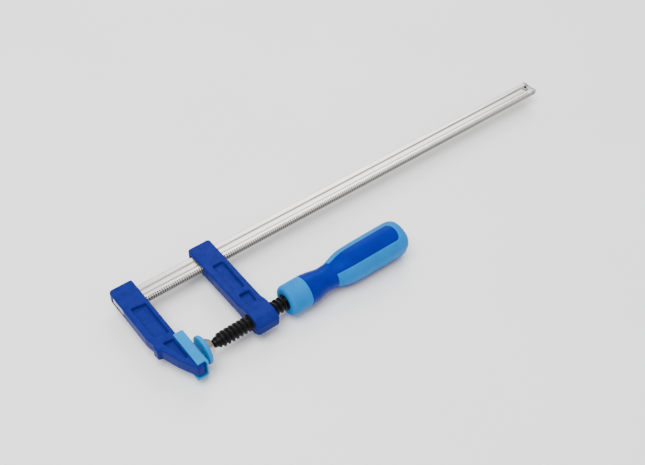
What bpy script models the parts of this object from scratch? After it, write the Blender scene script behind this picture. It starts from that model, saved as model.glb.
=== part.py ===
"""F clamp, 300 mm capacity and 50 mm reach, as separate solids with their joints' axes.

Metres, +Z up. The clamp lies on its side. The origin is the middle of the fixed clamping face,
on the screw's axis. +X runs along the bar, away from the fixed jaw, and the bar is on the +Y side.
"""
import bpy
import bmesh
from math import cos, sin, pi, tau, sqrt, radians
from mathutils import Matrix, Vector

MM = 0.001
SHARP = 0.6                  # edges sharper than this many radians aren't shaded smooth

# Bar, in millimetres. Y is measured from the screw's axis.
REACH = 52.0                 # screw axis to the bar's inner edge
BAR_WIDTH = 13.0
BAR_THICK = 4.2
BAR_START = -20.5            # the bar's end shows in the fixed jaw's outer face
BAR_END = 349.3
BAR_CHAMFER = 0.7
WEB_DEPTH = 0.35             # shallow recess along both broad faces
WEB_RIB = 3.5                # plain rib left along each edge
WEB_SLOPE = 1.5              # width of the slope from the rib down to the web
BAR_MID = REACH + BAR_WIDTH / 2

STOP_X = 343.2
STOP_RADIUS = 2.0
STOP_WALL = 0.6
STOP_LENGTH = 6.8

# Castings.
CAST_THICK = 9.4
SLOT_GAP = 0.05              # fixed jaw, pressed on
SLIDE_GAP = 0.3              # sliding arm, running
SLIDE_SLACK = 2.0            # the arm's slot is longer behind the bar, so that the arm can cock
CAST_BACK = REACH + 17.8     # both castings end here, behind the bar
POCKET_DEPTH = 2.6
EDGE = 0.9                   # rounding along the castings' outer edges

JAW_OUTER = -20.7
JAW_INNER = -4.3
JAW_LAND = -2.2              # the raised land that the fixed pad snaps over
LAND_TOP = 15.0
JAW_TIP = -12.4
ARM_FRONT = 36.6
ARM_BACK = 53.3
ARM_TAPER = 0.7              # each side comes in by this much at the hub
HUB_FRONT = 36.9
HUB_BACK = 52.9
HUB_END = -10.0              # the casting's free end, below the screw
HUB_HALF = 7.0               # half thickness over the screw
BORE_RADIUS = 5.2

# Fixed pad: a cap over the jaw's land, open at the jaw's tip.
PAD_FACE = 0.0
PAD_TOP = 16.2
PAD_BOTTOM = -13.2
PAD_FLANGE = 7.0             # how far the upper flange reaches back from the face
LOWER_FLANGE = 9.1           # the lower one reaches further back, and to the pad's end
FLANGE_END = -10.9
PAD_HALF = 6.2
PAD_GAP = 0.1
PAD_EDGE = 1.3               # chamfer along the face's long edges

# Screw, 10 mm with a 3 mm lead, and its ball.
THREAD_R = 5.0
CORE_R = 3.9
LEAD = 3.0
THREAD_START = 10.4
THREAD_END = 63.4
TAPER = 5.5                  # the thread runs out to the tip over this length
BALL_X = 5.9
BALL_R = 2.6
NECK_R = 1.6
TANG_R = 4.0
TANG_END = 128.0

# Swivel pad, on the ball.
SWIVEL_FACE = 2.05           # a 2 mm plate still goes in front of either clamping face
SWIVEL_BACK = 4.9
SWIVEL_R = 9.6
PLATE_FRONT = 2.95
PLATE_R = 7.6
PLATE_BACK = 9.1
SOCKET_R = 2.75
RING_X = 7.85
RING_R = 2.45
RING_WIRE = 0.4

# Handle. Its section is round at the waist and squarish along the grip.
HANDLE_FRONT = 63.2
HANDLE_END = 159.6
HANDLE_TURN = radians(11)    # how far the handle happens to be turned
COLLAR_END = 78.2
GRIP_START = 100.0
PANEL_ANGLES = (radians(31), radians(73))   # half the angles that the two dark panels span
PANEL_STEPS = (4, 8)         # facets across each
PANEL_END = 151.5
PANEL_ROUND = 3.5            # length of the rounding at the panels' ends
SKIN = 2.2                   # thickness of the soft over-moulding
JOIN = 0.04                  # gap between mouldings that are bonded in the real handle
SIDE_STEPS = 8               # facets across each side panel
NOSE_R = 8.0                 # the core's nose, under the collar
NOSE_FRONT = 64.4
HANDLE_PROFILE = [           # x, half width, squareness of the section
    (63.2, 7.6, 2.0), (63.6, 8.9, 2.0), (64.6, 9.9, 2.0), (66.4, 10.4, 2.0), (72.0, 10.4, 2.0),
    (78.2, 10.4, 2.0), (83.5, 10.0, 2.0), (88.5, 9.1, 2.05), (93.5, 8.3, 2.1), (98.0, 8.4, 2.2),
    (102.5, 9.4, 2.3), (107.0, 10.7, 2.4), (112.5, 11.6, 2.5), (121.0, 11.9, 2.5),
    (132.0, 12.0, 2.5), (143.0, 12.1, 2.5), (151.0, 12.1, 2.5), (154.6, 11.6, 2.45),
    (157.0, 10.4, 2.4), (158.6, 8.2, 2.3), (159.6, 4.6, 2.2)]

COLOURS = {                  # base colour, metallic, roughness
    "plated_steel": ((0.62, 0.59, 0.55), 1.0, 0.34),
    "spring_steel": ((0.55, 0.54, 0.52), 1.0, 0.38),
    "blue_casting": ((0.015, 0.065, 0.33), 0.0, 0.38),
    "black_steel": ((0.012, 0.012, 0.013), 0.35, 0.42),
    "light_blue_plastic": ((0.03, 0.38, 0.82), 0.0, 0.42),
    "dark_blue_plastic": ((0.006, 0.085, 0.48), 0.0, 0.40),
    "light_blue_rubber": ((0.015, 0.36, 0.82), 0.0, 0.50)}


def clear_scene():
    for thing in list(bpy.data.objects):
        bpy.data.objects.remove(thing, do_unlink=True)


def material(name):
    found = bpy.data.materials.get(name)
    if found:
        return found
    colour, metallic, roughness = COLOURS[name]
    made = bpy.data.materials.new(name)
    made.use_nodes = True
    shader = made.node_tree.nodes["Principled BSDF"]
    shader.inputs["Base Color"].default_value = (*colour, 1.0)
    shader.inputs["Metallic"].default_value = metallic
    shader.inputs["Roughness"].default_value = roughness
    return made


def make_object(name, bm, slot, parent=None):
    """Closed body from a bmesh built in millimetres and world axes."""
    bmesh.ops.remove_doubles(bm, verts=bm.verts, dist=1e-4)
    bmesh.ops.recalc_face_normals(bm, faces=bm.faces)
    bmesh.ops.scale(bm, verts=bm.verts, vec=(MM, MM, MM))
    if parent:
        bmesh.ops.translate(bm, verts=bm.verts, vec=-parent.location)
    mesh = bpy.data.meshes.new(name)
    bm.to_mesh(mesh)
    bm.free()
    mesh.shade_smooth()
    mesh.set_sharp_from_angle(angle=SHARP)
    thing = bpy.data.objects.new(name, mesh)
    bpy.context.scene.collection.objects.link(thing)
    if slot:
        mesh.materials.append(material(slot))
    thing.parent = parent
    return thing


def joint_empty(name, place, parent=None):
    """Marks a joint's axis; moving pieces hang from it. Place is in millimetres."""
    marker = bpy.data.objects.new(name, None)
    bpy.context.scene.collection.objects.link(marker)
    marker.empty_display_size = 0.01
    marker.location = Vector(place) * MM
    if parent:
        marker.parent = parent
        marker.matrix_parent_inverse = Matrix.Translation(-parent.location)
    return marker


def prism(outline, low, high, axis="z"):
    """Extrudes an outline. The outline is XY for axis z, YZ for axis x, and XZ for axis y."""
    places = {"z": lambda a, b: (a, b, low), "x": lambda a, b: (low, a, b),
              "y": lambda a, b: (a, low, b)}
    away = {"z": Vector((0, 0, 1)), "x": Vector((1, 0, 0)), "y": Vector((0, 1, 0))}
    bm = bmesh.new()
    face = bm.faces.new([bm.verts.new(places[axis](a, b)) for a, b in outline])
    grown = bmesh.ops.extrude_face_region(bm, geom=[face], use_keep_orig=True)
    moved = [part for part in grown["geom"] if isinstance(part, bmesh.types.BMVert)]
    bmesh.ops.translate(bm, verts=moved, vec=away[axis] * (high - low))
    return bm


def rounded(points, steps=4):
    """Outline from (x, y, radius) corners, with an arc at each corner that has a radius."""
    outline = []
    count = len(points)
    for i, (x, y, radius) in enumerate(points):
        here = Vector((x, y))
        if radius <= 0:
            outline.append((x, y))
            continue
        before = (Vector(points[i - 1][:2]) - here).normalized()
        after = (Vector(points[(i + 1) % count][:2]) - here).normalized()
        half = before.angle(after) / 2
        reach = radius / max(1e-6, abs(sin(half) / cos(half)))
        start = here + before * reach
        end = here + after * reach
        centre = here + (before + after).normalized() * (radius / sin(half))
        a = start - centre
        b = end - centre
        for k in range(steps + 1):
            t = k / steps
            spoke = (a * (1 - t) + b * t).normalized() * radius
            outline.append(tuple(centre + spoke))
    return outline


def inset(outline, distance):
    """Moves each corner of an outline inwards by a distance, measured square to its sides."""
    area = sum(a[0] * b[1] - b[0] * a[1] for a, b in zip(outline, outline[1:] + outline[:1]))
    turn = 1 if area > 0 else -1
    moved = []
    count = len(outline)
    for i in range(count):
        here = Vector(outline[i])
        into = (here - Vector(outline[i - 1])).normalized()
        away = (Vector(outline[(i + 1) % count]) - here).normalized()
        first = Vector((-into.y, into.x)) * turn
        second = Vector((-away.y, away.x)) * turn
        moved.append(tuple(here + (first + second) * distance / (1 + first.dot(second))))
    return moved


def soft_prism(outline, low, high, edge, axis="z"):
    """Extruded outline whose two end faces meet the sides in a rounded edge."""
    levels = [(low, 1.0), (low + edge * 0.3, 0.3), (low + edge, 0.0),
              (high - edge, 0.0), (high - edge * 0.3, 0.3), (high, 1.0)]
    bm = bmesh.new()
    rings = []
    for level, share in levels:
        ring = inset(outline, edge * share) if share else outline
        rings.append([bm.verts.new((a, b, level) if axis == "z" else (level, a, b))
                      for a, b in ring])
    for near, far in zip(rings, rings[1:]):
        skin_rings(bm, near, far, len(outline))
    bm.faces.new(rings[0])
    bm.faces.new(rings[-1])
    return bm


def ellipse(cx, cy, rx, ry, sides=32):
    return [(cx + rx * cos(tau * k / sides), cy + ry * sin(tau * k / sides)) for k in range(sides)]


def lathe(profile, sides=32):
    """Spins a profile of (x, r) pairs about the X axis. A profile off the axis is closed."""
    bm = bmesh.new()
    points = [bm.verts.new((x, 0, r)) for x, r in profile]
    edges = [bm.edges.new(pair) for pair in zip(points, points[1:])]
    if profile[0][1] > 0:
        edges.append(bm.edges.new((points[-1], points[0])))
    bmesh.ops.spin(bm, geom=points + edges, cent=(0, 0, 0), axis=(1, 0, 0), angle=tau,
                   steps=sides, use_merge=True)
    bmesh.ops.remove_doubles(bm, verts=bm.verts, dist=1e-4)
    return bm


def skin_rings(bm, near, far, sides):
    for k in range(sides):
        j = (k + 1) % sides
        if len(near) == 1:
            bm.faces.new((near[0], far[k], far[j]))
        elif len(far) == 1:
            bm.faces.new((near[k], far[0], near[j]))
        else:
            bm.faces.new((near[k], far[k], far[j], near[j]))


def boolean(target, operation, *tools):
    """Applies exact booleans to an object, then removes the tool objects."""
    for tool in tools:
        tool.hide_render = True
        tool.display_type = "WIRE"
        step = target.modifiers.new("cut", "BOOLEAN")
        step.operation = operation
        step.solver = "EXACT"
        step.object = tool
    bpy.context.view_layer.update()
    graph = bpy.context.evaluated_depsgraph_get()
    done = bpy.data.meshes.new_from_object(target.evaluated_get(graph))
    target.modifiers.clear()
    slots = list(target.data.materials)
    target.data = done
    done.materials.clear()
    for slot in slots:
        done.materials.append(slot)
    for tool in tools:
        bpy.data.objects.remove(tool, do_unlink=True)
    tidy(target)
    return target


def tidy(thing, distance=2e-6):
    bm = bmesh.new()
    bm.from_mesh(thing.data)
    bmesh.ops.remove_doubles(bm, verts=bm.verts, dist=distance)
    bmesh.ops.dissolve_degenerate(bm, edges=bm.edges, dist=distance)
    bmesh.ops.recalc_face_normals(bm, faces=bm.faces)
    bm.to_mesh(thing.data)
    bm.free()


# ---- bar ----

def bar_section(grow=0.0):
    """YZ outline: rounded edges, with a shallow web recessed in both broad faces."""
    low = REACH - grow
    high = REACH + BAR_WIDTH + grow
    half = BAR_THICK / 2 + grow
    web = half - WEB_DEPTH
    c = BAR_CHAMFER
    upper = [(high - c, half), (high - WEB_RIB, half), (high - WEB_RIB - WEB_SLOPE, web),
             (low + WEB_RIB + WEB_SLOPE, web), (low + WEB_RIB, half), (low + c, half)]
    left = [(low + c * 0.3, half - c * 0.35), (low, half - c), (low, c - half),
            (low + c * 0.3, c * 0.35 - half)]
    lower = [(y, -z) for y, z in reversed(upper)]
    right = [(high - c * 0.3, c * 0.35 - half), (high, c - half), (high, half - c),
             (high - c * 0.3, half - c * 0.35)]
    return upper + left + lower + right


def build_bar():
    bar = make_object("bar", prism(bar_section(), BAR_START, BAR_END, axis="x"), "plated_steel")
    hole = make_object("hole", prism(ellipse(STOP_X, BAR_MID, STOP_RADIUS + 0.03,
                                             STOP_RADIUS + 0.03, 24), -5, 5), None)
    boolean(bar, "DIFFERENCE", hole)


def build_stop_pin():
    """Slotted spring pin: an open tube across the bar's broad faces."""
    slot_half = 0.22
    turns = 22
    outer = []
    inner = []
    for k in range(turns + 1):
        angle = slot_half + (tau - 2 * slot_half) * k / turns
        outer.append((STOP_X + STOP_RADIUS * cos(angle), BAR_MID + STOP_RADIUS * sin(angle)))
        bore = STOP_RADIUS - STOP_WALL
        inner.append((STOP_X + bore * cos(angle), BAR_MID + bore * sin(angle)))
    outline = outer + inner[::-1]
    half = STOP_LENGTH / 2
    make_object("bar_stop_pin", prism(outline, -half, half), "spring_steel")


# ---- castings ----

def slot_cutter(gap, slack, low, high):
    """Hole for the bar: its section grown by a gap, and longer behind it by a slack."""
    y0 = REACH - gap
    y1 = REACH + BAR_WIDTH + gap + slack
    half = BAR_THICK / 2 + gap
    outline = rounded([(y0, -half, 0.4), (y1, -half, 0.4), (y1, half, 0.4), (y0, half, 0.4)], 3)
    return make_object("slot", prism(outline, low, high, axis="x"), None)


def pocket_cutters(name, corners, half):
    """A tapered pocket in each broad face; its floor is smaller than its mouth."""
    mouth = rounded(corners)
    centre = sum((Vector(p) for p in mouth), Vector((0, 0))) / len(mouth)
    draft = 0.86
    tools = []
    for side in (1, -1):
        bm = bmesh.new()
        floor = [centre + (Vector(p) - centre) * draft for p in mouth]
        high = side * (half + 1.0)
        low = side * (half - POCKET_DEPTH)
        near = [bm.verts.new((p[0], p[1], high)) for p in mouth]
        far = [bm.verts.new((p[0], p[1], low)) for p in floor]
        bm.faces.new(near)
        bm.faces.new(far)
        for i in range(len(mouth)):
            j = (i + 1) % len(mouth)
            bm.faces.new((near[i], near[j], far[j], far[i]))
        tools.append(make_object(name, bm, None))
    return tools


def build_fixed_jaw():
    outline = rounded([
        (JAW_OUTER, CAST_BACK, 2.5), (JAW_OUTER, 25.0, 4.0), (-19.5, 18.4, 0.8),
        (-20.6, 16.4, 1.2), (-20.3, 11.9, 1.3), (-17.8, 11.3, 1.0), (-13.9, 0.4, 9.0),
        (-9.5, -8.6, 2.5), (-7.6, JAW_TIP, 1.2), (-3.6, JAW_TIP, 1.0), (JAW_LAND, -11.4, 0),
        (JAW_LAND, LAND_TOP, 0), (JAW_INNER, LAND_TOP, 0), (JAW_INNER, CAST_BACK, 1.5)])
    half = CAST_THICK / 2
    jaw = make_object("fixed_jaw", soft_prism(outline, -half, half, EDGE), "blue_casting")
    text_pocket = [(-16.9, 49.6, 1.2), (-16.5, 21.6, 1.2), (-7.0, 19.6, 1.2), (-6.8, 48.0, 1.2)]
    tip_pocket = [(-15.0, 15.8, 1.0), (-9.6, -2.0, 0.7), (-7.6, -2.0, 0.7), (-7.6, 15.0, 1.0)]
    boolean(jaw, "DIFFERENCE",
            slot_cutter(SLOT_GAP, 0.0, JAW_OUTER - 2, JAW_INNER + 2),
            *pocket_cutters("pocket", text_pocket, half),
            *pocket_cutters("pocket", tip_pocket, half))


def build_fixed_jaw_pad():
    """Cap over the jaw's land. The jaw's tip shows beyond the end of its upper flange."""
    upper = PAD_FACE - PAD_FLANGE
    lower = PAD_FACE - LOWER_FLANGE
    outline = rounded([(PAD_FACE, PAD_TOP, 0.6), (lower, PAD_TOP, 0), (lower, PAD_BOTTOM, 0),
                       (PAD_FACE, PAD_BOTTOM, 2.6)])
    pad = make_object("fixed_jaw_pad", prism(outline, -PAD_HALF, PAD_HALF), "light_blue_plastic")
    half = CAST_THICK / 2 + PAD_GAP
    wall = JAW_LAND + PAD_GAP
    past = 2.0
    cuts = [((lower - past, JAW_INNER + PAD_GAP), (PAD_BOTTOM - past, PAD_TOP + past), (-half, half)),
            ((JAW_INNER, wall), (PAD_BOTTOM - past, LAND_TOP + PAD_GAP), (-half, half)),
            ((lower - past, wall), (PAD_BOTTOM - past, FLANGE_END), (-half, PAD_HALF + past)),
            ((lower - past, upper), (PAD_BOTTOM - past, PAD_TOP + past), (-half, PAD_HALF + past))]
    tools = []
    for (x0, x1), (y0, y1), (z0, z1) in cuts:
        tools.append(make_object("hollow", prism([(x0, y0), (x1, y0), (x1, y1), (x0, y1)], z0, z1), None))
    trim = PAD_FACE + 1.0
    for side in (1, -1):
        edge = [(PAD_FACE - PAD_EDGE, side * PAD_HALF), (trim, side * (PAD_HALF - PAD_EDGE - 1.0)),
                (trim, side * (PAD_HALF + 3.0)), (PAD_FACE - PAD_EDGE, side * (PAD_HALF + 3.0))]
        tools.append(make_object("trim", prism(edge, PAD_BOTTOM - past, PAD_TOP + past, axis="y"), None))
    boolean(pad, "DIFFERENCE", *tools)


def build_sliding_arm(parent):
    half = CAST_THICK / 2
    outline = rounded([(ARM_FRONT, CAST_BACK, 2.0), (ARM_FRONT + ARM_TAPER, 0.0, 0),
                       (ARM_BACK - ARM_TAPER, 0.0, 0), (ARM_BACK, CAST_BACK, 2.0)])
    arm = make_object("sliding_arm", soft_prism(outline, -half, half, EDGE), "blue_casting", parent)
    section = [(HUB_END, 3.0, 1.5), (-8.2, 4.7, 2.0), (-4.5, HUB_HALF, 4.0), (4.5, HUB_HALF, 4.0),
               (11.5, half - 0.4, 2.0)]
    section += [(y, -z, radius) for y, z, radius in section[::-1]]
    hub = make_object("hub", soft_prism(rounded(section), HUB_FRONT, HUB_BACK, EDGE, axis="x"), None)
    boolean(arm, "UNION", hub)
    long_pocket = [(41.7, 48.6, 1.6), (41.1, 22.8, 1.6), (49.3, 22.3, 1.6), (50.0, 48.4, 1.6)]
    short_pocket = [(41.6, 19.0, 1.2), (41.5, 8.9, 1.2), (48.7, 8.7, 1.2), (49.7, 18.8, 1.2)]
    bore = make_object("bore", prism(ellipse(0, 0, BORE_RADIUS, BORE_RADIUS, 32), HUB_FRONT - 3,
                                     HUB_BACK + 3, axis="x"), None)
    boolean(arm, "DIFFERENCE",
            slot_cutter(SLIDE_GAP, SLIDE_SLACK, ARM_FRONT - 3, ARM_BACK + 3), bore,
            *pocket_cutters("pocket", long_pocket, half),
            *pocket_cutters("pocket", short_pocket, half))


# ---- screw and swivel ----

def build_spindle(parent):
    """Ball, neck, right-hand rounded thread that tapers at the tip, and a plain tang."""
    sides = 16
    step = LEAD / 6
    bm = bmesh.new()
    stations = []
    for k in range(1, 6):
        angle = pi * k / 7
        stations.append((BALL_X - BALL_R * cos(angle), BALL_R * sin(angle), 0.0))
    stations += [(BALL_X + sqrt(BALL_R ** 2 - NECK_R ** 2), NECK_R, 0.0),
                 (THREAD_START - 0.6, NECK_R, 0.0)]
    count = int((THREAD_END - THREAD_START) / step)
    for k in range(count + 1):
        x = THREAD_START + k * step
        ramp = min(1.0, (x - THREAD_START) / TAPER)
        base = 2.6 + (CORE_R - 2.6) * ramp
        depth = (THREAD_R - CORE_R) * min(ramp, (THREAD_END - x) / step / 2, 1.0)
        stations.append((x, base, max(0.0, depth)))
    stations += [(THREAD_END + 0.3, TANG_R, 0.0), (TANG_END, TANG_R, 0.0)]
    rings = []
    for x, base, depth in stations:
        ring = []
        for k in range(sides):
            angle = tau * k / sides
            phase = ((x / LEAD - k / sides) % 1.0) * tau
            lift = min(1.0, max(0.0, 0.5 + 0.85 * cos(phase)))
            r = base + depth * lift
            ring.append(bm.verts.new((x, r * cos(angle), r * sin(angle))))
        rings.append(ring)
    tip = [bm.verts.new((BALL_X - BALL_R, 0, 0))]
    end = [bm.verts.new((TANG_END, 0, 0))]
    for near, far in zip([tip] + rings, rings + [end]):
        skin_rings(bm, near, far, sides)
    make_object("spindle", bm, "black_steel", parent)


def build_retaining_ring(parent):
    """Round wire ring round the neck, inside the socket's mouth."""
    profile = [(RING_X + RING_WIRE * cos(tau * k / 8), RING_R + RING_WIRE * sin(tau * k / 8))
               for k in range(8)]
    make_object("ball_retaining_ring", lathe(profile, 24), "spring_steel", parent)


def build_swivel_plate(parent):
    """Flat plate with a conical socket; the ball sits in its hollow, open towards the screw."""
    outer = [(PLATE_FRONT, 0.0), (PLATE_FRONT, PLATE_R), (PLATE_FRONT + 1.1, PLATE_R),
             (SWIVEL_BACK, 7.0), (PLATE_BACK - 0.3, 4.5), (PLATE_BACK, 4.2)]
    mouth = [(PLATE_BACK, 2.9), (PLATE_BACK - 0.35, 2.9), (PLATE_BACK - 0.45, 3.7),
             (BALL_X + 1.2, 3.7)]
    hollow = [(BALL_X + 0.9, SOCKET_R * 0.98), (BALL_X, SOCKET_R)]
    for k in range(1, 6):
        angle = pi / 2 * k / 6
        hollow.append((BALL_X - SOCKET_R * sin(angle), SOCKET_R * cos(angle)))
    hollow.append((BALL_X - SOCKET_R, 0.0))
    make_object("swivel_plate", lathe(outer + mouth + hollow, 32), "plated_steel", parent)


def build_swivel_pad(parent):
    """Soft cap: a disc with a rim that snaps over the plate's edge."""
    gap = 0.06
    profile = [(SWIVEL_FACE, 0.0), (SWIVEL_FACE, SWIVEL_R - 0.6), (SWIVEL_FACE + 0.5, SWIVEL_R),
               (SWIVEL_BACK - 1.2, SWIVEL_R), (SWIVEL_BACK - 0.3, SWIVEL_R - 0.5),
               (SWIVEL_BACK, SWIVEL_R - 1.4), (SWIVEL_BACK, PLATE_R - 0.3),
               (PLATE_FRONT + 1.1 + gap, PLATE_R + gap), (PLATE_FRONT - gap, PLATE_R + gap),
               (PLATE_FRONT - gap, 0.0)]
    make_object("swivel_pad", lathe(profile, 40), "light_blue_plastic", parent)


# ---- handle ----

def handle_size(x):
    """Half width and squareness of the handle's section at a place along X."""
    for (x0, half0, square0), (x1, half1, square1) in zip(HANDLE_PROFILE, HANDLE_PROFILE[1:]):
        if x0 <= x <= x1:
            t = (x - x0) / (x1 - x0)
            return half0 + (half1 - half0) * t, square0 + (square1 - square0) * t
    return HANDLE_PROFILE[-1][1:]


def handle_point(x, angle, depth):
    """Point on the handle's superellipse section, or a depth under it. Angle 0 is a panel."""
    half, square = handle_size(x)
    c = abs(cos(angle)) ** square
    s = abs(sin(angle)) ** square
    radius = half / (c + s) ** (1 / square) - depth
    turn = HANDLE_TURN + pi / 2 + angle
    return (x, radius * cos(turn), radius * sin(turn))


def panel_spread(x, side):
    """Half the angle of one dark panel at a place along X; the panels' ends are rounded."""
    past = (x - (PANEL_END - PANEL_ROUND)) / PANEL_ROUND
    if past <= 0:
        return PANEL_ANGLES[side]
    return PANEL_ANGLES[side] * sqrt(max(0.0, 1 - past ** 2))


def handle_stations(low, high, panel_end):
    """Places along X for the handle's rings, closer together round the panels' ends."""
    places = {low, high}
    places.update(row[0] for row in HANDLE_PROFILE if low + 0.3 < row[0] < high - 0.3)
    ends = [panel_end - PANEL_ROUND * (1 - sin(pi / 2 * k / 7)) for k in range(8)]
    crowded = [x for x in places if ends[0] - 0.5 < x < ends[-1] + 0.5 and x not in (low, high)]
    places.difference_update(crowded)
    places.update(x for x in ends if low < x < high)
    return sorted(places)


def build_collar(parent):
    outer = [(x, half) for x, half, square in HANDLE_PROFILE if x < COLLAR_END - 0.1]
    outer.append((COLLAR_END - JOIN, handle_size(COLLAR_END)[0]))
    bore = [(COLLAR_END - JOIN, NOSE_R + JOIN), (NOSE_FRONT - JOIN, NOSE_R + JOIN),
            (NOSE_FRONT - JOIN, 5.6), (HANDLE_FRONT, 5.6)]
    make_object("handle_collar", lathe(outer + bore, 32), "light_blue_rubber", parent)


def build_core(parent):
    """Hard core: a nose under the collar, the waist, and a body with two proud panels."""
    inner_end = HANDLE_END - 3.4
    levels = [(NOSE_FRONT, NOSE_R, None), (COLLAR_END, NOSE_R, None)]
    levels += [(x, None, 0.0) for x in handle_stations(COLLAR_END, GRIP_START, PANEL_END)]
    levels += [(x, None, SKIN + JOIN) for x in handle_stations(GRIP_START, inner_end, PANEL_END)]
    bm = bmesh.new()
    rings = []
    for x, radius, depth in levels:
        panel_depth = 0.0 if x < PANEL_END - 0.01 else depth
        points = []
        for side in (0, 1):
            spread = panel_spread(x, side)
            begin = side * pi + spread
            finish = (side + 1) * pi - panel_spread(x, 1 - side)
            spans = ((side * pi - spread, begin, PANEL_STEPS[side], panel_depth),
                     (begin, finish, SIDE_STEPS, depth))
            for start, end, steps, under in spans:
                for k in range(steps + 1):
                    angle = start + (end - start) * k / steps
                    if radius:
                        turn = HANDLE_TURN + pi / 2 + angle
                        points.append((x, radius * cos(turn), radius * sin(turn)))
                    else:
                        points.append(handle_point(x, angle, under))
        rings.append([bm.verts.new(point) for point in points])
    for near, far in zip(rings, rings[1:]):
        skin_rings(bm, near, far, len(near))
    for ring in (rings[0], rings[-1]):
        bm.faces.new(ring)
    core = make_object("handle_core", bm, "dark_blue_plastic", parent)
    tang = make_object("tang", prism(ellipse(0, 0, TANG_R + JOIN, TANG_R + JOIN, 16),
                                     NOSE_FRONT - 2, TANG_END + 0.3, axis="x"), None)
    boolean(core, "DIFFERENCE", tang)


def build_grip(parent):
    """Soft skin: two side panels and the end cap in one piece."""
    start = GRIP_START + JOIN
    inner_end = HANDLE_END - 3.4 + JOIN
    places = handle_stations(start, inner_end, PANEL_END)
    caps = [row[0] for row in HANDLE_PROFILE if row[0] > inner_end + 0.3]
    clear = JOIN / 11            # angle of the gap beside a panel
    bm = bmesh.new()
    for side in (0, 1):
        outer = []
        inner = []
        for x in places + caps:
            spreads = [panel_spread(x, side), panel_spread(x, 1 - side)]
            begin, end = [spread + clear if spread else 0.0 for spread in spreads]
            angles = [side * pi + begin + (pi - begin - end) * k / SIDE_STEPS
                      for k in range(SIDE_STEPS + 1)]
            outer.append([bm.verts.new(handle_point(x, a, 0.0)) for a in angles])
            if x <= inner_end:
                inner.append([bm.verts.new(handle_point(x, a, SKIN)) for a in angles])
        for skin in (outer, inner):
            for near, far in zip(skin, skin[1:]):
                for k in range(SIDE_STEPS):
                    bm.faces.new((near[k], far[k], far[k + 1], near[k + 1]))
        for k in range(SIDE_STEPS):
            bm.faces.new((outer[0][k], inner[0][k], inner[0][k + 1], outer[0][k + 1]))
        for i in range(len(places) - 1):
            if panel_spread(places[i], side) > 0:
                for k in (0, SIDE_STEPS):
                    bm.faces.new((outer[i][k], outer[i + 1][k], inner[i + 1][k], inner[i][k]))
    bmesh.ops.remove_doubles(bm, verts=bm.verts, dist=1e-5)
    for wanted in (places[-1], caps[-1]):
        rim = [e for e in bm.edges if len(e.link_faces) == 1
               and all(abs(v.co.x - wanted) < 1e-4 for v in e.verts)]
        bmesh.ops.contextual_create(bm, geom=rim)
    make_object("handle_grip", bm, "light_blue_rubber", parent)


def main():
    clear_scene()
    build_bar()
    build_stop_pin()
    build_fixed_jaw()
    build_fixed_jaw_pad()
    arm_slide = joint_empty("arm_slide_axis", (ARM_FRONT, BAR_MID, 0))
    feed = joint_empty("spindle_feed_axis", (BALL_X, 0, 0), arm_slide)
    turn = joint_empty("spindle_turn_axis", (BALL_X, 0, 0), feed)
    tilt = joint_empty("pad_tilt_axis", (BALL_X, 0, 0), feed)
    build_sliding_arm(arm_slide)
    build_retaining_ring(feed)
    build_spindle(turn)
    build_swivel_plate(tilt)
    build_swivel_pad(tilt)
    build_core(turn)
    build_collar(turn)
    build_grip(turn)


main()
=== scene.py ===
"""Looks for a packed F clamp that lies on its side.

Shapes are drawn in millimetres in the CAD frame and scaled to metres once, in add_piece.
The origin is the middle of the fixed clamping face, +X runs along the bar, +Y towards the bar
and +Z up. Castings and the fixed pad are surfaces of distance functions, so that every edge is
rounded and every inner corner filleted. The bar, screw and handle are grids with their own detail,
and the turned pieces are spun profiles.
"""
from itertools import product
from math import cos, pi, radians, sin, sqrt, tau

import bmesh
import bpy
import numpy as np
from mathutils import Matrix, Vector


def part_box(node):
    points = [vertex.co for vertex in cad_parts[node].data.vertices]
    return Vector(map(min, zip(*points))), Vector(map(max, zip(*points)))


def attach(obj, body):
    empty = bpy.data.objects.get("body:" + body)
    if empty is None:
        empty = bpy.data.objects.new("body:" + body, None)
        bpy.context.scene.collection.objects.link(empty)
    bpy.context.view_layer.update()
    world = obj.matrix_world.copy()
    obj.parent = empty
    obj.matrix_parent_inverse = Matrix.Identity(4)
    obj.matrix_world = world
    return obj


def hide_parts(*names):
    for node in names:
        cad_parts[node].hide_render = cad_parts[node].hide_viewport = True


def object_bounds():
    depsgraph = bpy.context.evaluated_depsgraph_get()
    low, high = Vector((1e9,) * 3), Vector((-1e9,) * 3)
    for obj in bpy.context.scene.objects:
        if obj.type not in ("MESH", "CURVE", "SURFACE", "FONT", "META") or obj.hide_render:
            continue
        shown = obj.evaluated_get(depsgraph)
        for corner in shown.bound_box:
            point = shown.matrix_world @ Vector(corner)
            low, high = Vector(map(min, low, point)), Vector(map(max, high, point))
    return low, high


MM = 0.001
SHARP = radians(42)          # edges that turn more than this stay crisp
FIT = 0.04                   # gap between pieces that meet

# Bar
TOOTH_PITCH = 1.61
TOOTH_DEPTH = 0.5
TOOTH_RUN = 1.5              # how far a tooth's groove runs in over the broad faces
TOOTH_SHAPE = [              # share of the pitch, share of the depth
    (0.0, 0.0), (0.32, 0.0), (0.45, 0.85), (0.62, 1.0), (0.82, 0.85), (0.95, 0.1)]
TEETH_START = 3.0            # from the bar's fixed end
TEETH_STOP = 7.0             # from the bar's free end
FADE_START = 0.6             # share of the row from where the teeth get shallower
FADE = 0.45                  # share of the depth that the last one has lost
NOTCH = 3.4                  # the nick's place, from the bar's free end
WEB_DEPTH = 0.35
WEB_RIB = 3.5                # width of the raised ribs beside the web
WEB_SLOPE = 1.5              # width of the step down to the web
WEB_SHADE = (0.15, 0.46)     # painted shade on that step, beside the toothed edge and the plain edge
FLANK_SHADE = 0.58           # painted shade on the bar's narrow faces
BAR_CHAMFER = 0.7
PIN_WALL = 0.6
PIN_SLIT = 0.24              # half the angle of the pin's open seam
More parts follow.
